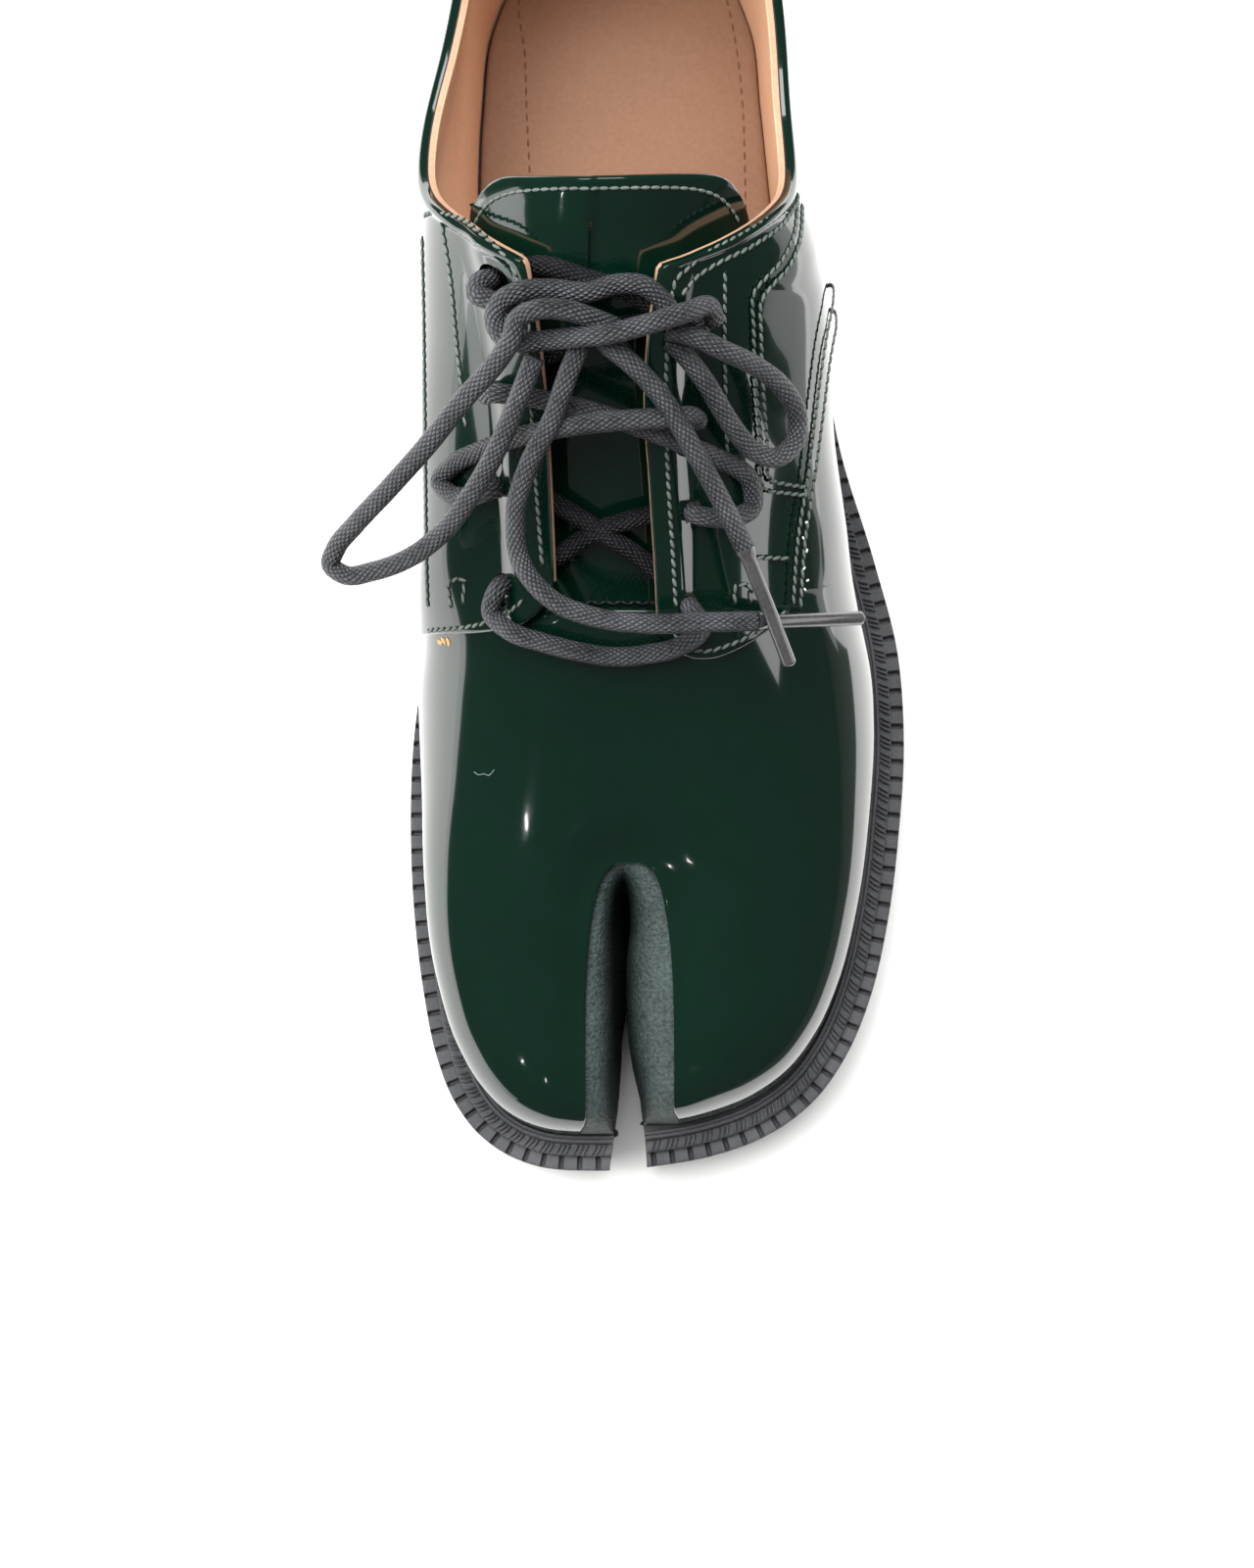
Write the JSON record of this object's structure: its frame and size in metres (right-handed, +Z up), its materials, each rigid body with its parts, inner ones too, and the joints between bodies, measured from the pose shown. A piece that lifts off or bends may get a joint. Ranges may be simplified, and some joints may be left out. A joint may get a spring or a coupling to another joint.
{
  "type": "split toe lace-up shoe",
  "caption": "Left split toe lace-up leather shoe: hollow upper with lace quarters, tongue and padded toe gusset on a notched rubber sole with heel, its round lace tied in a bow.",
  "frame": {"origin": "on the floor under the middle of the shoe's length and width", "axes": "-Y towards the toe, +Y towards the heel, +X towards the lateral side of the left foot, +Z up"},
  "size_m": [0.1236, 0.285, 0.1168],
  "materials": {
    "green_patent_leather": "high gloss patent",
    "grey_green_leather": "matte, fine grain",
    "tan_leather": "matte, undyed",
    "black_rubber": "matte moulded",
    "waxed_charcoal_cord": "waxed round braid",
    "grey_plastic_tip": "glossy shrunk tube"
  },
  "bodies": {
    "root": {"upper": "green_patent_leather", "tongue": "green_patent_leather", "toe_gusset": "grey_green_leather", "insole": "tan_leather", "outsole": "black_rubber", "heel": "black_rubber", "welt": "black_rubber", "lace_bar": "waxed_charcoal_cord", "lace_cross_low": "waxed_charcoal_cord", "lace_cross_mid": "waxed_charcoal_cord", "lace_cross_top": "waxed_charcoal_cord", "lace_knot": "waxed_charcoal_cord", "lace_loop_medial": "waxed_charcoal_cord", "lace_loop_lateral": "waxed_charcoal_cord", "lace_end_medial": "waxed_charcoal_cord", "lace_end_lateral": "waxed_charcoal_cord", "aglet_medial": "grey_plastic_tip", "aglet_lateral": "grey_plastic_tip"}
  },
  "joints": []
}
